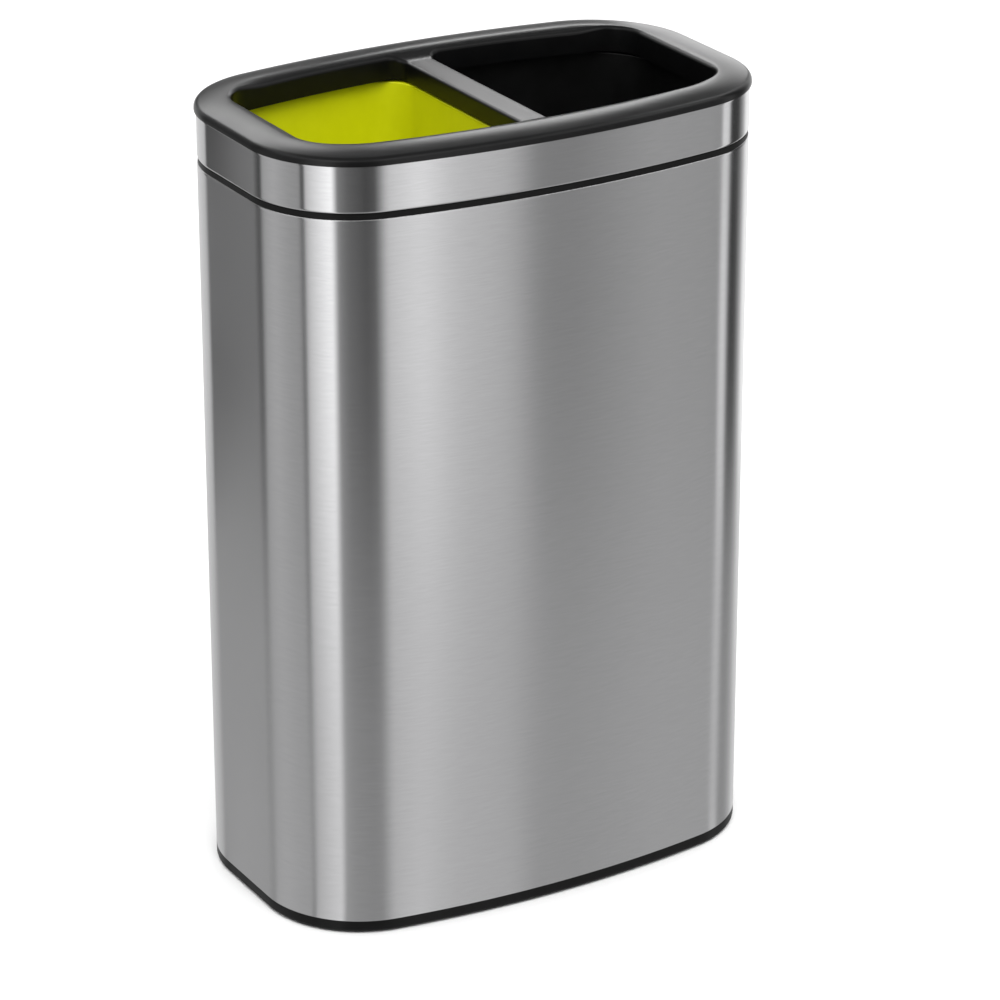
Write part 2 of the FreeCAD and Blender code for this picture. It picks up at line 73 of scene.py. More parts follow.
# ---------------------------------------------------------------- sizes from the frame
shell_low, shell_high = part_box("body_shell")
band_low, band_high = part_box("lid_band")
rim_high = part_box("rim_frame")[1]
liner_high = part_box("lid_liner")[1]
bucket_low, bucket_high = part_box("black_bucket")
bail_low, bail_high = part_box("black_bail")
grip_low, grip_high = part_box("black_grip")
base_screw_low, base_screw_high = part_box("base_screws")
lid_screw_low, lid_screw_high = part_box("lid_screws")

HALF_WIDTH = shell_high.x
HALF_DEPTH = 123.5 * MM
LONG_SIDE_BOW = 827 * MM
BODY_CORNER = 80 * MM
SHEET = 0.6 * MM
HEM_WIDTH = 2.0 * MM
HEM_LEG = 5.0 * MM
HEM_RISE = 1.6 * MM             # height of the roll's rounding
SEAM_X = 4.5 * MM
SEAM_WIDTH = 0.35 * MM
FIT = 0.2 * MM
HEM_FACE = HEM_WIDTH + FIT
HOLD = 0.3 * MM                 # extra edge beside a bend, so that the flat beside it stays flat

RIM_OVERHANG = 1.5 * MM
RIM_EDGE = 1.0 * MM
RIM_SHOULDER = 5.0 * MM
RIM_CROWN_INSET = 21.6 * MM
RIM_FALL = 20.0 * MM
RIM_WALL = 2.4 * MM
RIM_SKIRT_WALL = 2.2 * MM
RIM_SKIRT_DROP = 11.5 * MM
RIM_LIP = 2.4 * MM
RIM_BLEND_INSET = 17.0 * MM     # where the ring's profile meets the surface round the openings
RIM_RISE = rim_high.z - band_high.z
DIVIDER_RISE = 3.0 * MM
OPENING_END = 170.8 * MM
OPENING_SIDE = 91.8 * MM
OPENING_BOW = 728 * MM
OPENING_CORNER = 29.3 * MM
DIVIDER_HALF_WIDTH = 11.3 * MM
DIVIDER_CORNER = 11 * MM
RIM_TOP_INSETS = (3 * MM, 5 * MM, 8 * MM, 11 * MM, 14 * MM)
RIM_UNDER_INSETS = (14 * MM, 11 * MM, 8 * MM, 6 * MM)
LID_SCREW_X = (45 * MM, 122 * MM)
LID_SCREW_INSET = 8.4 * MM
LID_BOSS_RADIUS = 3.5 * MM

BUCKET_GAP = 2.0 * MM           # from a bucket's mouth up to the rim's skirt
BUCKET_WALL = 1.8 * MM
BUCKET_FLANGE = 7.0 * MM
BUCKET_FLANGE_THICK = 2.0 * MM
BUCKET_LIP = 8.0 * MM
BUCKET_LIP_WALL = 1.6 * MM
BUCKET_SPLIT = 0.8 * MM
BUCKET_SIDE_CORNER = 37 * MM
BUCKET_DRAFT = 12 * MM
BUCKET_ROUND = 11 * MM
BUCKET_FOOT = 2.5 * MM
BUCKET_FOOT_WIDTH = 5 * MM
BUCKET_INSET = HALF_WIDTH - bucket_high.x
SKIRT_Z = band_high.z - RIM_SKIRT_DROP
BUCKET_TOP = SKIRT_Z - BUCKET_GAP
BUCKET_Z = bucket_low.z

WIRE_RADIUS = 1.75 * MM
BAIL_BEND = 3.4 * MM
BAIL_HEAD_RADIUS = 2.7 * MM
BAIL_HEAD = 1.0 * MM
EAR_WALL = 2.5 * MM
EAR_RADIUS = 5.0 * MM
BAIL_Z = (bail_low.z + bail_high.z) / 2
BAIL_INSET = HALF_WIDTH - (grip_low.x + grip_high.x) / 2
GRIP_RADIUS = (grip_high.x - grip_low.x) / 2
GRIP_HALF = grip_high.y
GRIP_RINGS = 9
GRIP_RING_DEPTH = 0.5 * MM
GRIP_RING_STEPS = 8             # points along each ring's wave
GRIP_END_STEP = 18              # degrees between the points of the sleeve's rounded ends
PIVOT_X = (BUCKET_SPLIT + HALF_WIDTH - BUCKET_INSET) / 2

BASE_SCREW_X = 85 * MM
BASE_SCREW_INSET = 14 * MM
BASE_SCREW_RADIUS = 2.0 * MM
BASE_SCREW_HEAD_RADIUS = 4.0 * MM
BASE_SCREW_HEAD = 2.6 * MM
LID_SCREW_RADIUS = 1.5 * MM
LID_SCREW_HEAD_RADIUS = 2.9 * MM
LID_SCREW_HEAD = 1.8 * MM
# Shares of a screw's head radius, head height or shank radius.
RECESS_RADIUS = 0.42
RECESS_FLOOR_RADIUS = 0.8
RECESS_FLOOR = 0.55
RECESS_TIP = 0.6
RECESS_ZONE = (0.7, 1.01)       # between these shares of its radius the recess gets its lobes
RECESS_HIGH = 0.58
HEAD_ROUND = 0.4
THREAD_ROOT = 0.82
THREAD_PITCH = 0.6
LOBES = 6
LOBE_RISE = 0.16

STEP_LENGTH = 5 * MM            # longest chord along a curved wall
STEP_ANGLE = 2.0                # widest turn of one chord, in degrees
SHARP_ANGLE = math.radians(34)
WELD = 0.004 * MM               # vertices closer than this become one
ROUND_STEPS = 10                # chords of a profile's wide arcs
EDGE_STEPS = 5                  # chords of its small rounded edges
HEM_INNER_STEPS = 6
LIP_STEP = 15                   # degrees between the points of the openings' lip
RIM_SIDE_STEPS = 20             # chords round each corner beside the divider
RIM_CUTS = 11                   # loops across the surface round the openings
BOSS_SEGMENTS = 24
EAR_SEGMENTS = 32
WIRE_SEGMENTS = 16
HEAD_SEGMENTS = 24
GRIP_SEGMENTS = 36
SCREW_SEGMENTS = 24

Arc = namedtuple("Arc", "x y radius start end")      # anticlockwise, angles in degrees
Run = namedtuple("Run", "x0 y0 x1 y1")               # straight; its outer side is on the right


# ---------------------------------------------------------------- paths seen from above
def blend(depth, bow, corner, reach):
    """Height and end angle of a corner arc whose centre lies at x = reach, inside a bowed side."""
    rise = math.sqrt((bow - corner) ** 2 - reach ** 2)
    return depth - bow + rise, math.degrees(math.atan2(rise, reach))


def bowed_half(width, depth, bow, corner):
    """Right half of a closed slim oval, from its front middle round to its back middle."""
    reach = width - corner
    y, turn = blend(depth, bow, corner, reach)
    return [
        Arc(0, bow - depth, bow, 270, 360 - turn),
        Arc(reach, -y, corner, 360 - turn, 360),
        Run(width, -y, width, y),
        Arc(reach, y, corner, 0, turn),
        Arc(0, depth - bow, bow, turn, 90),
    ]


def half_oval(side, side_corner, width, depth, bow, corner):
    """The part of such an oval beyond x = side, closed by a flat side with its own corners.

    The flat side comes last, so that an open path can leave it out.
    """
    reach = width - corner
    y, turn = blend(depth, bow, corner, reach)
    side_reach = side + side_corner
    side_y, side_turn = blend(depth, bow, side_corner, side_reach)
    return [
        Arc(side_reach, -side_y, side_corner, 180, 360 - side_turn),
        Arc(0, bow - depth, bow, 360 - side_turn, 360 - turn),
        Arc(reach, -y, corner, 360 - turn, 360),
        Run(width, -y, width, y),
        Arc(reach, y, corner, 0, turn),
        Arc(0, depth - bow, bow, turn, side_turn),
        Arc(side_reach, side_y, side_corner, side_turn, 180),
        Run(side, side_y, side, -side_y),
    ]


def body_path():
    """Whole outline of the steel, with a short arc where its seam lies at the back."""
    right = bowed_half(HALF_WIDTH, HALF_DEPTH, LONG_SIDE_BOW, BODY_CORNER)
    left = [half_turned(piece) for piece in right]
    back = right[-1]
    near = 90 - math.degrees((SEAM_X - SEAM_WIDTH / 2) / LONG_SIDE_BOW)
    far = 90 - math.degrees((SEAM_X + SEAM_WIDTH / 2) / LONG_SIDE_BOW)
    split = [back._replace(end=far), back._replace(start=far, end=near), back._replace(start=near)]
    return right[:-1] + split + left


def half_turned(piece):
    """The same piece on the other side of the middle, half a turn round."""
    if isinstance(piece, Arc):
        return Arc(-piece.x, -piece.y, piece.radius, piece.start + 180, piece.end + 180)
    return Run(-piece.x0, -piece.y0, -piece.x1, -piece.y1)


def half_inside(side, side_corner, inset):
    """Right-hand half oval at an even inset from the steel, closed along x = side."""
    return half_oval(side, side_corner, HALF_WIDTH - inset, HALF_DEPTH - inset,
                     LONG_SIDE_BOW - inset, BODY_CORNER - inset)


def opening_path():
    """Right-hand opening of the rim, from the front end of its straight side."""
    path = half_oval(DIVIDER_HALF_WIDTH, DIVIDER_CORNER, OPENING_END, OPENING_SIDE,
                     OPENING_BOW, OPENING_CORNER)
    return path[1:] + path[:1]


def bail_path():
    """Middle line of the wire: out of one ear, round the far side of the mouth, into the other."""
    loop = half_inside(PIVOT_X, BAIL_BEND, BAIL_INSET)
    side = loop[-1]
    stub = EAR_WALL + BAIL_HEAD + 2 * FIT
    leave = Run(PIVOT_X, -side.y0 + stub, PIVOT_X, -side.y0)
    enter = Run(PIVOT_X, side.y0, PIVOT_X, side.y0 - stub)
    return [leave] + loop[:-1] + [enter]


def body_inset(x, y):
    """Distance in from the body's outline at a point."""
    x, y = abs(x), abs(y)
    reach = HALF_WIDTH - BODY_CORNER
    centre_y, turn = blend(HALF_DEPTH, LONG_SIDE_BOW, BODY_CORNER, reach)
    if x > reach and y > centre_y and math.degrees(math.atan2(y - centre_y, x - reach)) < turn:
        return BODY_CORNER - math.hypot(x - reach, y - centre_y)
    bow = LONG_SIDE_BOW - math.hypot(x, y - HALF_DEPTH + LONG_SIDE_BOW)
    return min(HALF_WIDTH - x, bow)


def side_spots(xs, inset):
    """Points along both long sides at each x and -x, and one in the middle of each short side."""
    spots = []
    for x in xs:
        y = HALF_DEPTH - LONG_SIDE_BOW + math.sqrt((LONG_SIDE_BOW - inset) ** 2 - x ** 2)
        spots += [(sx * x, sy * y) for sx in (-1, 1) for sy in (-1, 1)]
    return spots + [(sx * (HALF_WIDTH - inset), 0.0) for sx in (-1, 1)]


# ---------------------------------------------------------------- profiles
def turned(centre, radius, start, end, steps):
    """Points of a profile's arc: angle 0 points inward, 90 up."""
    points = []
    for step in range(steps + 1):
        angle = math.radians(start + (end - start) * step / steps)
        points.append((centre[0] + radius * math.cos(angle), centre[1] + radius * math.sin(angle)))
    return points


def rolled_edge(edge_z, way):
    """A sheet edge rolled inward, from the outer face to the inner; way is 1 for an upper edge."""
    outer = HEM_WIDTH / 2
    centre = (outer, 0)
    roll = turned(centre, outer, 180, 0, ROUND_STEPS) + [
        (HEM_WIDTH, HEM_RISE - HEM_LEG), (HEM_WIDTH - SHEET, HEM_RISE - HEM_LEG)]
    inner = turned(centre, outer - SHEET, 0, 180, HEM_INNER_STEPS)
    points = [(0, -HOLD)] + roll + inner + [(SHEET, -HOLD)]
    stretch = HEM_RISE / outer
    return [(inset, edge_z + way * (z * stretch if z > 0 else z) - way * HEM_RISE)
            for inset, z in points]


def dome_of_rim():
    """Radius of the rim's dome and the angle at which it meets the shoulder."""
    across = RIM_CROWN_INSET + RIM_OVERHANG - RIM_SHOULDER
    up = RIM_RISE - RIM_EDGE
    dome = (across ** 2 + up ** 2 - RIM_SHOULDER ** 2) / (2 * (up - RIM_SHOULDER))
    return dome, 90 + math.degrees(math.asin(across / (dome - RIM_SHOULDER)))


def rim_height(inset):
    """Height of the rim's upper side above the band's top edge, inside its shoulder."""
    dome, _ = dome_of_rim()
    fall = RIM_RISE - DIVIDER_RISE
    bend = (RIM_FALL ** 2 + fall ** 2) / (4 * fall)
    past = inset - RIM_CROWN_INSET
    if past < 0:
        return RIM_RISE - dome + math.sqrt(dome ** 2 - past ** 2)
    if past < RIM_FALL / 2:
        return RIM_RISE - bend + math.sqrt(bend ** 2 - past ** 2)
    if past < RIM_FALL:
        return DIVIDER_RISE + bend - math.sqrt(bend ** 2 - (RIM_FALL - past) ** 2)
    return DIVIDER_RISE


# ---------------------------------------------------------------- modelling
def steps_of(piece):
    """Number of chords that a piece of a path is divided into."""
    if isinstance(piece, Run):
        return 1
    turn = piece.end - piece.start
    length = math.radians(turn) * piece.radius
    return max(2, math.ceil(length / STEP_LENGTH), math.ceil(turn / STEP_ANGLE))


def start_frame(piece):
    """Start point of a path and the direction that points out of it there."""
    if isinstance(piece, Arc):
        angle = math.radians(piece.start)
        out = Vector((math.cos(angle), math.sin(angle), 0))
        return Vector((piece.x, piece.y, 0)) + out * piece.radius, out
    out = Vector((piece.y1 - piece.y0, piece.x0 - piece.x1, 0)).normalized()
    return Vector((piece.x0, piece.y0, 0)), out


def swept(bm, path, profile, closed=True, steps=None):
    """Carries a profile along a path: spun round its arcs, extruded along its runs.

    steps holds the number of chords of each piece. Returns the first and last rows of edges,
    and the first row's vertices.
    """
    origin, out = start_frame(path[0])
    verts = [bm.verts.new(origin - out * inset + Vector((0, 0, z))) for inset, z in profile]
    pairs = list(zip(verts, verts[1:])) + ([(verts[-1], verts[0])] if closed else [])
    first = [bm.edges.new(pair) for pair in pairs]
    edges = first
    for piece, count in zip(path, steps or [steps_of(piece) for piece in path]):
        if isinstance(piece, Arc):
            spun = bmesh.ops.spin(
                bm, geom=list({v for e in edges for v in e.verts}) + edges,
                cent=(piece.x, piece.y, 0), axis=(0, 0, 1),
                angle=math.radians(piece.end - piece.start), steps=count)
            last = spun["geom_last"]
        else:
            last = bmesh.ops.extrude_edge_only(bm, edges=edges)["geom"]
            bmesh.ops.translate(bm, vec=(piece.x1 - piece.x0, piece.y1 - piece.y0, 0),
                                verts=[g for g in last if isinstance(g, bmesh.types.BMVert)])
        edges = [g for g in last if isinstance(g, bmesh.types.BMEdge)]
    return first, edges, verts


def welded(bm):
    bmesh.ops.remove_doubles(bm, verts=bm.verts, dist=WELD)
    bmesh.ops.recalc_face_normals(bm, faces=bm.faces)


def at_x_mirrored(bm):
    """Adds the mirror image on the other side of the divider."""
    bmesh.ops.mirror(bm, geom=bm.verts[:] + bm.edges[:] + bm.faces[:], matrix=Matrix.Identity(4),
                     merge_dist=WELD, axis="X")
    bmesh.ops.recalc_face_normals(bm, faces=bm.faces)


def finished(bm, name, material, body, slot, *nodes):
    """Turns a mesh into a piece that rides on a body and stands for CAD nodes."""
    for face in bm.faces:
        face.smooth = True
    for edge in bm.edges:
        edge.smooth = len(edge.link_faces) == 2 and edge.calc_face_angle() < SHARP_ANGLE
    mesh = bpy.data.meshes.new(name)
    bm.to_mesh(mesh)
    bm.free()
    mesh.materials.append(material)
    piece = bpy.data.objects.new(name, mesh)
    bpy.context.scene.collection.objects.link(piece)
    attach(piece, body)
    if nodes:
        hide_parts(*nodes)
    return piece


# ---------------------------------------------------------------- node helpers
def node_group(name, inputs, outputs):
    """Empty shader group with float inputs {name: default} and the named float outputs."""
    tree = bpy.data.node_groups.new(name, "ShaderNodeTree")
    for label, value in inputs.items():
        socket = tree.interface.new_socket(label, in_out="INPUT", socket_type="NodeSocketFloat")
        socket.default_value = value
    for label in outputs:
        tree.interface.new_socket(label, in_out="OUTPUT", socket_type="NodeSocketFloat")
    tree.nodes.new("NodeGroupInput").name = "in"
    tree.nodes.new("NodeGroupOutput").name = "out"
    return tree


def add(tree, kind, links=None, **values):
    """New node; values set its properties or, by socket name, its inputs; links join inputs."""
    node = tree.nodes.new("ShaderNode" + kind)
    for key, value in values.items():
        if hasattr(node, key):
            setattr(node, key, value)
        else:
            node.inputs[key.replace("_", " ")].default_value = value
    for key, source in (links or {}).items():
        tree.links.new(source, node.inputs[key])
    return node


def stretched(tree, scale):
    """Object coordinates scaled by a different number along each axis."""
    place = add(tree, "TexCoord").outputs["Object"]
    return add(tree, "Mapping", {"Vector": place}, Scale=scale).outputs["Vector"]


def noise(tree, scale, detail=2.0, roughness=0.5):
    """Noise with its own number of waves per metre along each axis."""
    node = add(tree, "TexNoise", {"Vector": stretched(tree, scale)})
    node.inputs["Scale"].default_value = 1.0
    node.inputs["Detail"].default_value = detail
    node.inputs["Roughness"].default_value = roughness
    return node.outputs[0]


def spread(tree, value, low, high, from_low=0.3, from_high=0.7):
    """Maps a noise value to a range."""
    node = add(tree, "MapRange", {"Value": value})
    node.inputs["From Min"].default_value = from_low
    node.inputs["From Max"].default_value = from_high
    node.inputs["To Min"].default_value = low
    node.inputs["To Max"].default_value = high
    return node.outputs["Result"]


def blended(tree, factor, first, second):
    """Mix of two colours."""
    node = add(tree, "Mix", data_type="RGBA")
    node.inputs[6].default_value = (*first, 1)
    node.inputs[7].default_value = (*second, 1)
    tree.links.new(factor, node.inputs[0])
    return node.outputs[2]


def bumped(tree, height, distance, strength=1.0):
    node = add(tree, "Bump", {"Height": height})
    node.inputs["Distance"].default_value = distance
    node.inputs["Strength"].default_value = strength
    return node.outputs["Normal"]


# Waves per metre along each axis.
FINE_BRUSHING = (90, 90, 3600)
BROAD_BRUSHING = (60, 60, 1300)
TONE_DRIFT = (5, 5, 9)
SPANGLE = (90, 90, 90)
WIRE_MARKS = (700, 700, 700)
SCREW_MARKS = (900, 900, 900)
HANDLING_MARKS = 38.0
BRUSHING_DEPTH = 0.0006 * MM


def make_brushing():
    """Fine level scratches of a brushed sheet, and slow drifts of its tone."""
    tree = node_group("brushing", {}, ("Lines", "Drift"))
    fine = noise(tree, FINE_BRUSHING, roughness=0.6)
    broad = noise(tree, BROAD_BRUSHING, roughness=0.6)
    lines = add(tree, "Math", {0: fine, 1: broad}, operation="ADD")
    half = add(tree, "Math", {0: lines.outputs[0]}, operation="MULTIPLY")
    half.inputs[1].default_value = 0.5
    out = tree.nodes["out"]
    tree.links.new(half.outputs[0], out.inputs["Lines"])
    tree.links.new(noise(tree, TONE_DRIFT), out.inputs["Drift"])
    return tree


def make_grain():
    """Spark-eroded grain of a moulding, with handling marks in broad patches."""
    tree = node_group("moulded_grain", {"Fineness": 1500.0}, ("Grain", "Marks"))
    place = add(tree, "TexCoord").outputs["Object"]
    pits = add(tree, "TexNoise", {"Vector": place, "Scale": tree.nodes["in"].outputs["Fineness"]})
    pits.inputs["Detail"].default_value = 3.0
    out = tree.nodes["out"]
    tree.links.new(pits.outputs[0], out.inputs["Grain"])
    marks = add(tree, "TexNoise", {"Vector": place})
    marks.inputs["Scale"].default_value = HANDLING_MARKS
    marks.inputs["Detail"].default_value = 6.0
    marks.inputs["Roughness"].default_value = 0.62
    tree.links.new(marks.outputs[0], out.inputs["Marks"])
    return tree


BRUSHING = make_brushing()
GRAIN = make_grain()


def new_material(name, colour, metallic=0.0, roughness=0.5, **sockets):
    """Material with the shader's plain values set; returns it, its tree and its shader."""
    material = bpy.data.materials.new(name)
    material.use_nodes = True
    tree = material.node_tree
    shader = tree.nodes["Principled BSDF"]
    shader.inputs["Base Color"].default_value = (*colour, 1)
    shader.inputs["Metallic"].default_value = metallic
    shader.inputs["Roughness"].default_value = roughness
    for label, value in sockets.items():
        shader.inputs[label.replace("_", " ")].default_value = value
    return material, tree, shader


def use_group(tree, group, **values):
    node = tree.nodes.new("ShaderNodeGroup")
    node.node_tree = group
    for label, value in values.items():
        node.inputs[label].default_value = value
    return node.outputs


def brushed_steel(name, smooth, rough):
    """Stainless sheet brushed level: its grooves blur what it mirrors up and down only."""
    material, tree, shader = new_material(name, STEEL_DARK, 1.0, rough,
                                          Anisotropic=0.95, Anisotropic_Rotation=0.25)
    brush = use_group(tree, BRUSHING)
    tone = spread(tree, brush["Lines"], 0, 1, from_low=0.38, from_high=0.62)
    tree.links.new(blended(tree, tone, STEEL_DARK, STEEL_LIGHT), shader.inputs["Base Color"])
    tree.links.new(spread(tree, brush["Drift"], smooth, rough), shader.inputs["Roughness"])
    tree.links.new(bumped(tree, brush["Lines"], BRUSHING_DEPTH), shader.inputs["Normal"])
    tangent = add(tree, "Tangent", direction_type="RADIAL", axis="Z")
    tree.links.new(tangent.outputs[0], shader.inputs["Tangent"])
    return material


def moulded(name, dark, light, smooth, rough, fineness, depth, **sockets):
    """Moulded plastic between two tones and two roughnesses, with a fine grain."""
    material, tree, shader = new_material(name, dark, 0.0, rough, **sockets)
    grain = use_group(tree, GRAIN, Fineness=fineness)
    tree.links.new(blended(tree, spread(tree, grain["Marks"], 0, 1), dark, light),
                   shader.inputs["Base Color"])
    tree.links.new(spread(tree, grain["Marks"], smooth, rough), shader.inputs["Roughness"])
    tree.links.new(bumped(tree, grain["Grain"], depth), shader.inputs["Normal"])
    return material


def galvanised():
    """Zinc-coated sheet with its crystal spangle."""
    material, tree, shader = new_material("galvanised_sheet", (0.45, 0.46, 0.47), 1.0, 0.42)
    cells = add(tree, "TexVoronoi", {"Vector": stretched(tree, SPANGLE)}, feature="F1")
    cells.inputs["Scale"].default_value = 1.0
    tone = add(tree, "SeparateColor", {0: cells.outputs["Color"]}).outputs[0]
    tree.links.new(blended(tree, tone, (0.34, 0.35, 0.36), (0.56, 0.57, 0.58)),
                   shader.inputs["Base Color"])
    tree.links.new(spread(tree, tone, 0.32, 0.55, from_low=0, from_high=1),
                   shader.inputs["Roughness"])
    return material


def metal(name, colour, smooth, rough, waves, depth):
    """Small metal part with fine drawn or rolled marks."""
    material, tree, shader = new_material(name, colour, 1.0, rough)
    marks = noise(tree, waves, detail=3.0)
    tree.links.new(spread(tree, marks, smooth, rough), shader.inputs["Roughness"])
    tree.links.new(bumped(tree, marks, depth), shader.inputs["Normal"])
    return material


STEEL_DARK = (0.405, 0.405, 0.41)
STEEL_LIGHT = (0.43, 0.43, 0.435)
STEEL = brushed_steel("brushed_steel", smooth=0.215, rough=0.245)
BAND_STEEL = brushed_steel("brushed_band_steel", smooth=0.16, rough=0.18)
GALVANISED = galvanised()
WIRE = metal("bright_zinc_wire", (0.66, 0.66, 0.67), smooth=0.16, rough=0.34,
             waves=WIRE_MARKS, depth=0.01 * MM)
SCREW = metal("zinc_plated_screw", (0.55, 0.56, 0.58), smooth=0.24, rough=0.42,
              waves=SCREW_MARKS, depth=0.01 * MM)
RIM_PLASTIC = moulded(
    "rim_plastic", (0.0020, 0.0020, 0.0021), (0.0034, 0.0034, 0.0036), smooth=0.285, rough=0.310,
    fineness=2400, depth=0.001 * MM, Specular_IOR_Level=0.22)
BLACK_PLASTIC = moulded(
    "black_moulding", (0.0022, 0.0022, 0.0022), (0.0038, 0.0038, 0.0038), smooth=0.40, rough=0.52,
    fineness=1700, depth=0.012 * MM, Specular_IOR_Level=0.13)
BLACK_BUCKET = moulded(
    "black_bucket_plastic", (0.0025, 0.0025, 0.0025), (0.0040, 0.0040, 0.0040), smooth=0.34,
    rough=0.44, fineness=1900, depth=0.008 * MM, Specular_IOR_Level=0.25)
GREEN_BUCKET = moulded(
    "green_bucket_plastic", (0.57, 0.60, 0.002), (0.62, 0.65, 0.003), smooth=0.36, rough=0.46,
    fineness=1900, depth=0.006 * MM, Specular_IOR_Level=0.3)
GRIP_PLASTIC = moulded(
    "grip_plastic", (0.020, 0.020, 0.020), (0.032, 0.032, 0.032), smooth=0.45, rough=0.60,
    fineness=1600, depth=0.02 * MM)
RUBBER = moulded(
    "foot_rubber", (0.028, 0.028, 0.027), (0.042, 0.041, 0.040), smooth=0.70, rough=0.85,
    fineness=1300, depth=0.02 * MM)


# ---------------------------------------------------------------- steel
def seam_pressed(bm):
    """Presses the outer face in along the seam line at the back."""
    for vert in bm.verts:
        on_line = abs(vert.co.x - SEAM_X) < SEAM_WIDTH / 4 and vert.co.y > 0
        if on_line and body_inset(vert.co.x, vert.co.y) < SHEET / 2:
            vert.co.y -= SHEET / 2


def make_body():
    bm = bmesh.new()
    low, top = shell_low.z, shell_high.z
    profile = [(SHEET, low), (0, low), (0, low + HOLD)] + rolled_edge(top, 1)
    swept(bm, body_path(), profile)
    welded(bm)
    seam_pressed(bm)
    finished(bm, "steel_body", STEEL, "bin", "brushed_steel_shell", "body_shell")


def make_band():
    bm = bmesh.new()
    profile = rolled_edge(band_high.z, 1) + rolled_edge(band_low.z, -1)[::-1]
    swept(bm, body_path(), profile)
    welded(bm)
    seam_pressed(bm)
    finished(bm, "steel_band", BAND_STEEL, "lid", "brushed_steel_shell", "lid_band")


# ---------------------------------------------------------------- rim
def rail(vert, rows):
    """Border edges of a swept surface in order, from a vertex of its first row."""
    chain = []
    while True:
        ahead = [e for e in vert.link_edges
                 if len(e.link_faces) == 1 and e not in rows and e not in chain]
        if not ahead:
            return chain
        chain.append(ahead[0])
        vert = ahead[0].other_vert(vert)


def middle_line(bm, y, z, count):
    """Edges along x = 0 from y to -y: a fine stretch at each end and one straight one between."""
    straight = HALF_DEPTH - RIM_CROWN_INSET - RIM_FALL
    near = [y + (straight - y) * step / count for step in range(count + 1)]
    verts = [bm.verts.new((0, place, z)) for place in near + [-place for place in near[::-1]]]
    return [bm.edges.new(pair) for pair in zip(verts, verts[1:])]


def surfaced(bm, outer, inner, cuts, drop):
    """Joins two rails edge by edge, and shapes the surface between them to the rim's height."""
    faces = []
    for pair in zip(outer, inner, strict=True):
        faces += bmesh.ops.contextual_create(bm, geom=list(pair))["faces"]
    rails = set(outer) | set(inner)
    spokes = list({e for face in faces for e in face.edges if e not in rails})
    divided = bmesh.ops.subdivide_edges(bm, edges=spokes, cuts=cuts)
    verts = {v for e in rails for v in e.verts}
    verts |= {g for g in divided["geom_inner"] if isinstance(g, bmesh.types.BMVert)}
    for vert in verts:
        inset = body_inset(vert.co.x, vert.co.y)
        vert.co.z = band_high.z + rim_height(inset) - drop


def make_rim():
    """Ring profile and lips of the openings joined by one surface, on one side, then mirrored."""
    bm = bmesh.new()
    top = band_high.z
    hollow = HEM_FACE + RIM_SKIRT_WALL
    _, meeting = dome_of_rim()
    shoulder = (RIM_SHOULDER - RIM_OVERHANG, top + RIM_EDGE)
    under = [(inset, top + rim_height(inset) - RIM_WALL)
             for inset in (RIM_BLEND_INSET, *RIM_UNDER_INSETS, hollow)]
    outside = [(hollow, SKIRT_Z), (HEM_FACE, SKIRT_Z), (HEM_FACE, top), (-RIM_OVERHANG, top)]
    dome = [(inset, top + rim_height(inset))
            for inset in (*RIM_TOP_INSETS, RIM_BLEND_INSET)]
    ring = under + outside + turned(shoulder, RIM_SHOULDER, 180, meeting, ROUND_STEPS) + dome
    path = bowed_half(HALF_WIDTH, HALF_DEPTH, LONG_SIDE_BOW, BODY_CORNER)
    counts = [steps_of(piece) for piece in path]
    first, last, ends = swept(bm, path, ring, False, counts)
    rows = set(first) | set(last)
    under_rail, top_rail = rail(ends[0], rows), rail(ends[-1], rows)

    quarter = [math.radians(angle) for angle in range(0, 91, LIP_STEP)]
    lip = [(RIM_LIP * (math.sin(a) - 1), top + RIM_LIP * (math.cos(a) - 1)) for a in quarter]
    skirt = [(0, SKIRT_Z), (-RIM_SKIRT_WALL, SKIRT_Z), (-RIM_SKIRT_WALL, top - RIM_WALL)]
    side_counts = [RIM_SIDE_STEPS, 1, RIM_SIDE_STEPS]
    before = set(bm.verts)
    first, last, ends = swept(bm, opening_path(), lip + skirt, False, counts + side_counts)
    for vert in set(bm.verts) - before:
        if vert.co.z > SKIRT_Z + RIM_WALL:
            vert.co.z += rim_height(body_inset(vert.co.x, vert.co.y))
    rows = set(first) | set(last)
    lip_rail, wall_rail = rail(ends[0], rows), rail(ends[-1], rows)

    y = HALF_DEPTH - RIM_BLEND_INSET
    for outer, inner, drop in ((top_rail, lip_rail, 0), (under_rail, wall_rail, RIM_WALL)):
        line = middle_line(bm, y, top - drop, RIM_SIDE_STEPS)
        surfaced(bm, outer + line, inner, RIM_CUTS, drop)
    welded(bm)
    at_x_mirrored(bm)
    for x, y in side_spots(LID_SCREW_X, LID_SCREW_INSET):
        high = top + rim_height(LID_SCREW_INSET - LID_BOSS_RADIUS) - RIM_WALL / 2
        bmesh.ops.create_cone(
            bm, segments=BOSS_SEGMENTS, radius1=LID_BOSS_RADIUS, radius2=LID_BOSS_RADIUS,
            depth=high - liner_high.z, cap_ends=True,
            matrix=Matrix.Translation((x, y, (high + liner_high.z) / 2)))
    finished(bm, "rim", RIM_PLASTIC, "lid", "rim_plastic", "rim_frame")


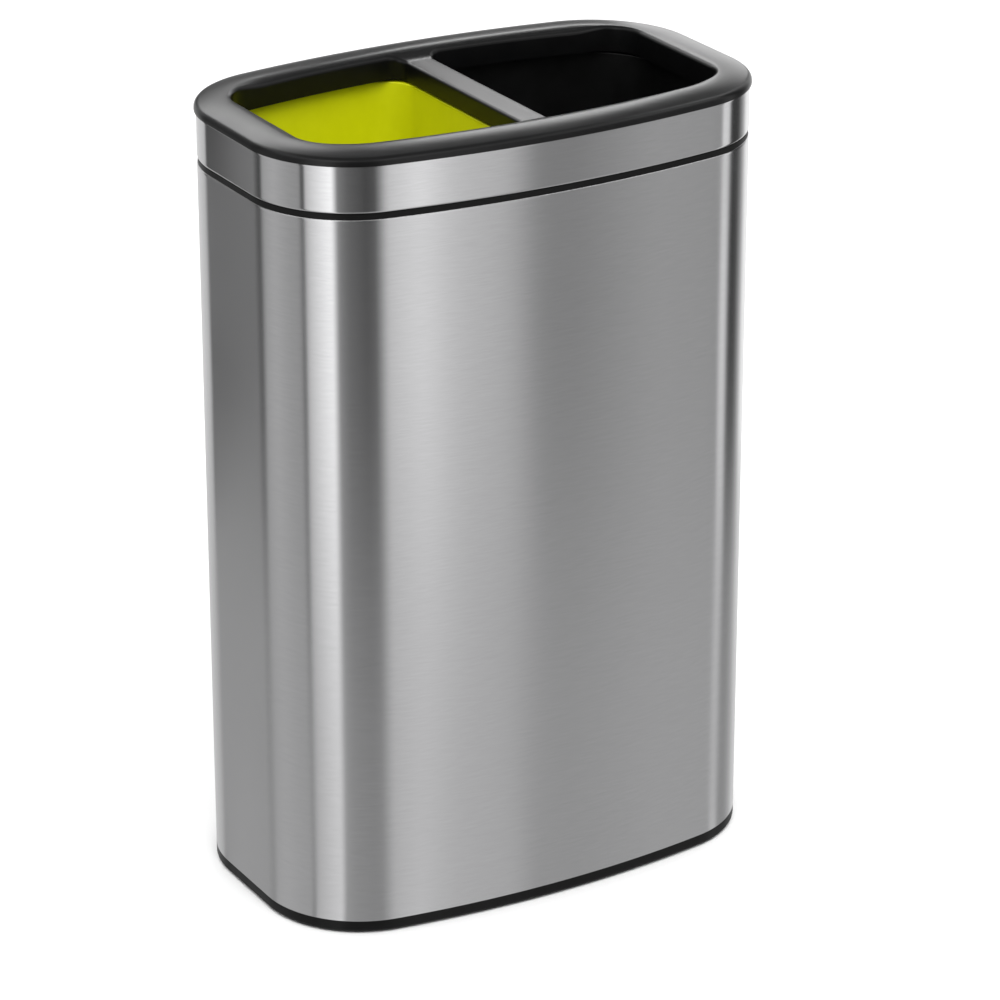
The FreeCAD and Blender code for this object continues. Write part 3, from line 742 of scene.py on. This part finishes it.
# ---------------------------------------------------------------- buckets
def bucket_profile():
    """From the floor's underside over the foot, up the outside, over the flange and down inside."""
    draw = BUCKET_DRAFT / (BUCKET_TOP - BUCKET_Z)
    slope = math.degrees(math.atan(draw))
    floor_z = BUCKET_Z + BUCKET_FOOT
    centre = (BUCKET_FLANGE + BUCKET_DRAFT + BUCKET_ROUND, floor_z + BUCKET_ROUND)
    foot_in = centre[0] + BUCKET_FOOT_WIDTH
    flange_low = BUCKET_TOP - BUCKET_FLANGE_THICK
    edge = BUCKET_LIP_WALL / 2
    edge_z = BUCKET_TOP - edge
    outside = turned(centre, BUCKET_ROUND, 270, 180 - slope, ROUND_STEPS)
    inside = turned(centre, BUCKET_ROUND - BUCKET_WALL, 180 - slope, 270, ROUND_STEPS)
    outer_x, outer_z = outside[-1]
    inner_x, inner_z = inside[0]
    mouth = inner_x - draw * (edge_z - inner_z)
    under_flange = outer_x - draw * (flange_low - outer_z)
    return (
        [(foot_in, floor_z), (foot_in, BUCKET_Z), (centre[0], BUCKET_Z)] + outside
        + [(outer_x - draw * HOLD, outer_z + HOLD), (under_flange, flange_low),
           (BUCKET_LIP_WALL, flange_low), (BUCKET_LIP_WALL, BUCKET_TOP - BUCKET_LIP),
           (0, BUCKET_TOP - BUCKET_LIP), (0, edge_z - HOLD)]
        + turned((edge, edge_z), edge, 180, 90, EDGE_STEPS)
        + [(edge + HOLD, BUCKET_TOP), (mouth - edge - HOLD, BUCKET_TOP)]
        + turned((mouth - edge, edge_z), edge, 90, 0, EDGE_STEPS)
        + [(mouth + draw * HOLD, edge_z - HOLD), (inner_x - draw * HOLD, inner_z + HOLD)]
        + inside + [(foot_in, floor_z + BUCKET_WALL)]
    )


def add_ear(bm, way):
    """Lug for the wire: two rings bridged, the outer one drawn down square, then given its wall."""
    side_y, _ = blend(HALF_DEPTH - BAIL_INSET, LONG_SIDE_BOW - BAIL_INSET, BAIL_BEND,
                      PIVOT_X + BAIL_BEND)
    outer_face = side_y - FIT / 2
    upright = Matrix.Rotation(math.radians(90), 4, "X")
    place = Matrix.Translation((PIVOT_X, way * (outer_face - EAR_WALL), BAIL_Z)) @ upright
    rings = []
    for radius in (EAR_RADIUS, WIRE_RADIUS + FIT / 4):
        circle = bmesh.ops.create_circle(bm, segments=EAR_SEGMENTS, radius=radius, matrix=place)
        rings.append(circle["verts"])
    for vert in rings[0]:
        if vert.co.z < BAIL_Z - FIT:
            vert.co.z = BUCKET_TOP - BUCKET_FLANGE_THICK
    edges = {e for ring in rings for v in ring for e in v.link_edges}
    face = bmesh.ops.bridge_loops(bm, edges=list(edges))["faces"]
    raised = bmesh.ops.extrude_face_region(bm, geom=face)["geom"]
    bmesh.ops.translate(bm, vec=(0, way * EAR_WALL, 0),
                        verts=[g for g in raised if isinstance(g, bmesh.types.BMVert)])


def make_bucket(colour, material, side):
    """Tapered bucket with a turned-down flange; side is 1 for the right-hand one."""
    bm = bmesh.new()
    path = half_inside(BUCKET_SPLIT, BUCKET_SIDE_CORNER, BUCKET_INSET)
    swept(bm, path, bucket_profile(), closed=False)
    bmesh.ops.remove_doubles(bm, verts=bm.verts, dist=WELD)
    bmesh.ops.holes_fill(bm, edges=[e for e in bm.edges if len(e.link_faces) == 1], sides=0)
    for way in (-1, 1):
        add_ear(bm, way)
    bmesh.ops.scale(bm, vec=(side, 1, 1), verts=bm.verts)
    bmesh.ops.recalc_face_normals(bm, faces=bm.faces)
    finished(bm, colour + "_bucket_shell", material, colour + "_pail",
             colour + "_bucket_plastic", colour + "_bucket")


def make_bail(colour, side):
    """Bent wire with its ends headed over inside the ears."""
    bm = bmesh.new()
    path = bail_path()
    ring = turned((0, BAIL_Z), WIRE_RADIUS, 0, 360, WIRE_SEGMENTS)[:-1]
    for row in swept(bm, path, ring)[:2]:
        bmesh.ops.contextual_create(bm, geom=list(row))
    for end in (path[0].y0, path[-1].y1):
        middle = end - math.copysign(BAIL_HEAD / 2, end)
        head = bmesh.ops.create_cone(
            bm, segments=HEAD_SEGMENTS, radius1=BAIL_HEAD_RADIUS, radius2=BAIL_HEAD_RADIUS,
            depth=BAIL_HEAD, cap_ends=True,
            matrix=Matrix.Translation((PIVOT_X, middle, BAIL_Z))
            @ Matrix.Rotation(math.radians(90), 4, "X"))["verts"]
        rims = {e for v in head for e in v.link_edges if e.calc_face_angle() > SHARP_ANGLE}
        bmesh.ops.bevel(bm, geom=list(rims), offset=BAIL_HEAD / 3, offset_type="OFFSET",
                        segments=3, profile=0.5, affect="EDGES", material=-1)
    bmesh.ops.scale(bm, vec=(side, 1, 1), verts=bm.verts)
    bmesh.ops.recalc_face_normals(bm, faces=bm.faces)
    finished(bm, colour + "_wire", WIRE, colour + "_handle", "wire_steel", colour + "_bail")


def spun_profile(bm, points, centre, axis, steps):
    """Turns (radius, height) points a full turn round an axis through centre."""
    axis = Vector(axis)
    out = axis.orthogonal().normalized()
    verts = [bm.verts.new(centre + out * radius + axis * height) for radius, height in points]
    edges = [bm.edges.new(pair) for pair in zip(verts, verts[1:])]
    bmesh.ops.spin(bm, geom=verts + edges, cent=centre, axis=axis, angle=math.tau, steps=steps,
                   use_merge=True)
    bmesh.ops.remove_doubles(bm, verts=bm.verts, dist=WELD)


def make_grip(colour, side):
    """Moulded sleeve with shallow rings for the fingers and rounded ends."""
    bm = bmesh.new()
    end_round = GRIP_RADIUS / 4
    body = GRIP_HALF - 2 * end_round
    quarter = [math.radians(angle) for angle in range(0, 91, GRIP_END_STEP)]
    end = [(WIRE_RADIUS, -GRIP_HALF)]
    end += [(GRIP_RADIUS - end_round + end_round * math.sin(a),
             -GRIP_HALF + end_round - end_round * math.cos(a)) for a in quarter]
    steps = GRIP_RINGS * GRIP_RING_STEPS
    rings = []
    for step in range(steps + 1):
        wave = (1 - math.cos(math.tau * step / GRIP_RING_STEPS)) / 2
        rings.append((GRIP_RADIUS - GRIP_RING_DEPTH * wave, body * (2 * step / steps - 1)))
    other_end = [(radius, -height) for radius, height in end[::-1]]
    centre = Vector((side * (HALF_WIDTH - BAIL_INSET), 0, BAIL_Z))
    spun_profile(bm, end + rings + other_end + end[:1], centre, (0, 1, 0), GRIP_SEGMENTS)
    bmesh.ops.recalc_face_normals(bm, faces=bm.faces)
    finished(bm, colour + "_sleeve", GRIP_PLASTIC, colour + "_handle", "grip_plastic",
             colour + "_grip")


# ---------------------------------------------------------------- screws
def make_screws(name, spots, low, high, head, head_radius, radius, body, node):
    """Pan-head screws with a six-lobed recess and a rolled thread, their heads down."""
    bm = bmesh.new()
    recess = head_radius * RECESS_RADIUS
    pitch = radius * THREAD_PITCH
    root = radius * THREAD_ROOT
    seat = low + head
    edge = head * HEAD_ROUND
    turns = int((high - seat - 2 * radius) / pitch)
    thread = []
    for turn in range(turns):
        thread += [(root, seat + (turn + 0.5) * pitch), (radius, seat + (turn + 1) * pitch)]
    points = [(0, low + head * RECESS_TIP),
              (recess * RECESS_FLOOR_RADIUS, low + head * RECESS_FLOOR), (recess, low)]
    points += turned((head_radius - edge, low + edge), edge, 270, 360, EDGE_STEPS)
    points += [(head_radius, seat), (root, seat)] + thread + [(0, high)]
    for x, y in spots:
        spun_profile(bm, points, Vector((x, y, 0)), (0, 0, 1), SCREW_SEGMENTS)
        for vert in bm.verts:
            away = vert.co.xy - Vector((x, y))
            in_recess = RECESS_ZONE[0] < away.length / recess < RECESS_ZONE[1]
            if in_recess and vert.co.z < low + head * RECESS_HIGH:
                lobe = 1 + LOBE_RISE * math.cos(LOBES * math.atan2(away.y, away.x))
                vert.co.x, vert.co.y = Vector((x, y)) + away * lobe
    bmesh.ops.recalc_face_normals(bm, faces=bm.faces)
    finished(bm, name, SCREW, body, "screw_steel", node)


make_body()
make_band()
make_rim()
for colour, material, side in (("black", BLACK_BUCKET, 1), ("green", GREEN_BUCKET, -1)):
    make_bucket(colour, material, side)
    make_bail(colour, side)
    make_grip(colour, side)
make_screws("base_fixings", side_spots((BASE_SCREW_X,), BASE_SCREW_INSET), base_screw_low.z,
            base_screw_high.z, BASE_SCREW_HEAD, BASE_SCREW_HEAD_RADIUS, BASE_SCREW_RADIUS,
            "bin", "base_screws")
make_screws("lid_fixings", side_spots(LID_SCREW_X, LID_SCREW_INSET), lid_screw_low.z,
            lid_screw_high.z, LID_SCREW_HEAD, LID_SCREW_HEAD_RADIUS, LID_SCREW_RADIUS,
            "lid", "lid_screws")

for name, material in {
    "top_collar": BLACK_PLASTIC, "base_ring": BLACK_PLASTIC, "lid_liner": BLACK_PLASTIC,
    "bottom_panel": GALVANISED, "foot_pad_front_left": RUBBER, "foot_pad_front_right": RUBBER,
    "foot_pad_rear_left": RUBBER, "foot_pad_rear_right": RUBBER,
}.items():
    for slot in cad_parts[name].material_slots:
        slot.material = material

# ---------------------------------------------------------------- studio
Patch = namedtuple("Patch", "start end low high glow")     # degrees, metres
RING_RADIUS = 0.9
RING_TOP = 1.32
RING_STEP = 0.03
RING_SEGMENTS = 720
RING_GAP = 2 * MM               # between the ring's foot or top and the flat parts that join it
# Azimuth in degrees and glow: diffusers where it is high, black flags where it is low.
RING_GLOW = (
    (-180, 0.66), (-170, 0.60), (-168.5, 0.12), (-166, 0.12), (-164.5, 1.15), (-152, 1.80),
    (-142, 2.30), (-137, 0.42), (-128, 0.24), (-112, 0.12), (-104, 0.16), (-100, 0.45),
    (-94, 1.00), (-88, 1.40), (-85, 1.75), (-82, 1.40), (-79, 1.15), (-71, 0.98),
    (-67, 0.44), (-61, 0.44), (-48, 0.68), (-39, 0.64), (-28, 0.54), (-26, 1.50), (-18, 1.45),
    (-15, 0.08), (-2, 0.08), (8, 0.60), (18, 1.50), (36, 1.10), (60, 0.90), (120, 1.00),
    (123, 0.04), (127, 0.04), (128.5, 0.38), (131, 0.42), (137, 0.25), (143, 0.10), (145, 0.06),
    (148, 0.74), (163, 0.84), (180, 0.66),
)
# Panels behind the bin, which the rim's upper side mirrors.
RING_BEHIND = (30, 100)
RING_BEHIND_LOW = 0.62
RING_BEHIND_GLOW = 0.12
RING_PATCHES = (Patch(34, 51, 0.62, 0.91, 2.8), Patch(48, 65, 0.92, 1.10, 7.8),
                Patch(71, 104, 0.96, 1.29, 5.2))
# The floor inside the ring, as the steel mirrors it: a glowing disc of painted light and shade,
# darker where the flags would shade the floor and lighter where the diffusers would light it.
# Its stripes run from the steel to the ring, so that they continue the ring's stripes downward.
INNER_FLOOR_GLOW = 0.80
INNER_FLOOR_SHARE = 0.35
INNER_FLOOR_TOP = 2.4           # brightest glow of the ring that counts for the floor
INNER_FLOOR_Z = MM
INNER_FLOOR_ROWS = 6
INNER_FLOOR_START = 0.02        # first row, as a share of the distance between two rows
BACK_SPOT_RADIUS = 0.12         # where the stripes behind the bin start
RAY_STEPS = 80                  # rays from each piece of the steel's outline
RAY_LEAST_FACING = 0.02         # cosine below which the steel is turned away from the camera
RAY_REACH = 4                   # degrees
# The panel overhead, which the rolled edges mirror, against the ring below it.
OVERHEAD_RADIUS = 0.62
OVERHEAD_GLOW = 1.2
OVERHEAD_SHARE = 1.6
FLOOR_HALF = 40.0
FLOOR_TONE = (0.83, 0.83, 0.83)
FLOOR_ROUGHNESS = 0.7
SKY_STRENGTH = 0.50
SoftLight = namedtuple("SoftLight", "name azimuth elevation strength angle")   # degrees
SOFT_LIGHTS = (SoftLight("overhead_softbox", 0, 88, 2.2, 100),
               SoftLight("front_softbox", -112, 50, 1.9, 50))


def glow_at(azimuth, radius, height):
    """Glow of the ring in one direction, straight between the set points."""
    for patch in RING_PATCHES:
        if patch.start <= azimuth <= patch.end and patch.low <= height <= patch.high:
            return patch.glow
    if height > RING_BEHIND_LOW and RING_BEHIND[0] < azimuth < RING_BEHIND[1]:
        return RING_BEHIND_GLOW
    for (start, first), (end, last) in zip(RING_GLOW, RING_GLOW[1:]):
        if start <= azimuth <= end:
            glow = first + (last - first) * (azimuth - start) / (end - start)
            break
    if radius > RING_RADIUS - RING_GAP / 2:
        return glow
    if height > RING_TOP / 2:
        return OVERHEAD_GLOW + OVERHEAD_SHARE * glow
    # inside the ring, low down: painted light and shade of the floor, following the ring's glow in
    # that direction
    return INNER_FLOOR_GLOW + INNER_FLOOR_SHARE * (min(glow, INNER_FLOOR_TOP) - INNER_FLOOR_GLOW)


def direction(angle):
    return Vector((math.cos(angle), math.sin(angle)))


def spot_along(piece, share):
    """Spot a share of the way along a piece of a path, and the angle that points out of it."""
    if isinstance(piece, Arc):
        normal = math.radians(piece.start + (piece.end - piece.start) * share)
        return Vector((piece.x, piece.y)) + piece.radius * direction(normal), normal
    start = Vector((piece.x0, piece.y0))
    end = Vector((piece.x1, piece.y1))
    return start.lerp(end, share), math.atan2(start.x - end.x, end.y - start.y)


def mirrored_rays():
    """Spots of the front of the steel, each with the azimuth of the ring that it mirrors."""
    seen = math.atan2(CAMERA_PLACE.y - CAMERA_AIM.y, CAMERA_PLACE.x - CAMERA_AIM.x)
    rays = []
    for piece in body_path():
        for step in range(RAY_STEPS + 1):
            spot, normal = spot_along(piece, step / RAY_STEPS)
            if math.cos(normal - seen) < RAY_LEAST_FACING:
                continue
            away = direction(2 * normal - seen)
            along = spot.dot(away)
            reach = math.sqrt(along ** 2 + RING_RADIUS ** 2 - spot.length_squared) - along
            met = spot + away * reach
            rays.append((math.degrees(math.atan2(met.y, met.x)), spot))
    return rays


def make_ring():
    """Round screen of diffusers and flags with a glowing floor of painted light and shade, seen
    only in what the bin mirrors.
    """
    bm = bmesh.new()
    rows = round(RING_TOP / RING_STEP)
    inner = RING_RADIUS - RING_GAP
    profile = [(RING_RADIUS * (row + INNER_FLOOR_START) / INNER_FLOOR_ROWS, INNER_FLOOR_Z)
               for row in range(INNER_FLOOR_ROWS)]
    profile.append((inner, INNER_FLOOR_Z))
    profile += [(RING_RADIUS, INNER_FLOOR_Z + row * RING_STEP) for row in range(rows + 1)]
    profile += [(inner, RING_TOP), (OVERHEAD_RADIUS, RING_TOP)]
    verts = [bm.verts.new((-radius, 0, height)) for radius, height in profile]
    edges = [bm.edges.new(pair) for pair in zip(verts, verts[1:])]
    bmesh.ops.spin(bm, geom=verts + edges, cent=(0, 0, 0), axis=(0, 0, 1), angle=math.tau,
                   steps=RING_SEGMENTS, use_merge=True)
    layer = bm.verts.layers.float.new("glow")
    rays = mirrored_rays()
    for vert in bm.verts:
        azimuth = math.degrees(math.atan2(vert.co.y, vert.co.x))
        radius = vert.co.xy.length
        vert[layer] = glow_at(azimuth, radius, vert.co.z)
        # the floor's painted stripes of light and shade are pulled towards the spots of the steel
        # that mirror them
        if vert.co.z < INNER_FLOOR_Z + RING_GAP / 4 and radius < inner - RING_GAP / 4:
            met, spot = min(rays, key=lambda ray: abs(ray[0] - azimuth))
            if abs(met - azimuth) > RAY_REACH:
                spot = vert.co.xy.normalized() * BACK_SPOT_RADIUS
            vert.co.x, vert.co.y = vert.co.xy + spot * (1 - radius / RING_RADIUS)
    mesh = bpy.data.meshes.new("studio_ring")
    bm.to_mesh(mesh)
    bm.free()
    material = bpy.data.materials.new("diffuser")
    material.use_nodes = True
    tree = material.node_tree
    tree.nodes.clear()
    value = add(tree, "Attribute", attribute_name="glow").outputs["Fac"]
    glow = add(tree, "Emission", {"Strength": value})
    out = add(tree, "OutputMaterial")
    tree.links.new(glow.outputs[0], out.inputs["Surface"])
    mesh.materials.append(material)
    ring = bpy.data.objects.new("studio_ring", mesh)
    bpy.context.scene.collection.objects.link(ring)
    ring.visible_camera = False
    ring.visible_diffuse = False
    ring.visible_shadow = False
    ring.visible_transmission = False


def make_floor():
    bm = bmesh.new()
    bmesh.ops.create_grid(bm, x_segments=1, y_segments=1, size=FLOOR_HALF)
    mesh = bpy.data.meshes.new("studio_floor")
    bm.to_mesh(mesh)
    bm.free()
    mesh.materials.append(new_material("pale_floor", FLOOR_TONE, 0.0, FLOOR_ROUGHNESS)[0])
    floor = bpy.data.objects.new("studio_floor", mesh)
    bpy.context.scene.collection.objects.link(floor)


def make_world():
    world = bpy.data.worlds.new("studio")
    bpy.context.scene.world = world
    world.use_nodes = True
    background = world.node_tree.nodes["Background"]
    background.inputs["Color"].default_value = (1, 1, 1, 1)
    background.inputs["Strength"].default_value = SKY_STRENGTH


def make_soft_light(soft):
    """Wide, even light from one direction, too soft to be mirrored."""
    data = bpy.data.lights.new(soft.name, "SUN")
    data.energy = soft.strength
    data.angle = math.radians(soft.angle)
    light = bpy.data.objects.new(soft.name, data)
    light.rotation_euler = (0, math.radians(90 - soft.elevation), math.radians(soft.azimuth))
    light.visible_glossy = False
    bpy.context.scene.collection.objects.link(light)


make_ring()
make_floor()
make_world()
for soft in SOFT_LIGHTS:
    make_soft_light(soft)
bpy.context.scene.view_settings.view_transform = "Standard"
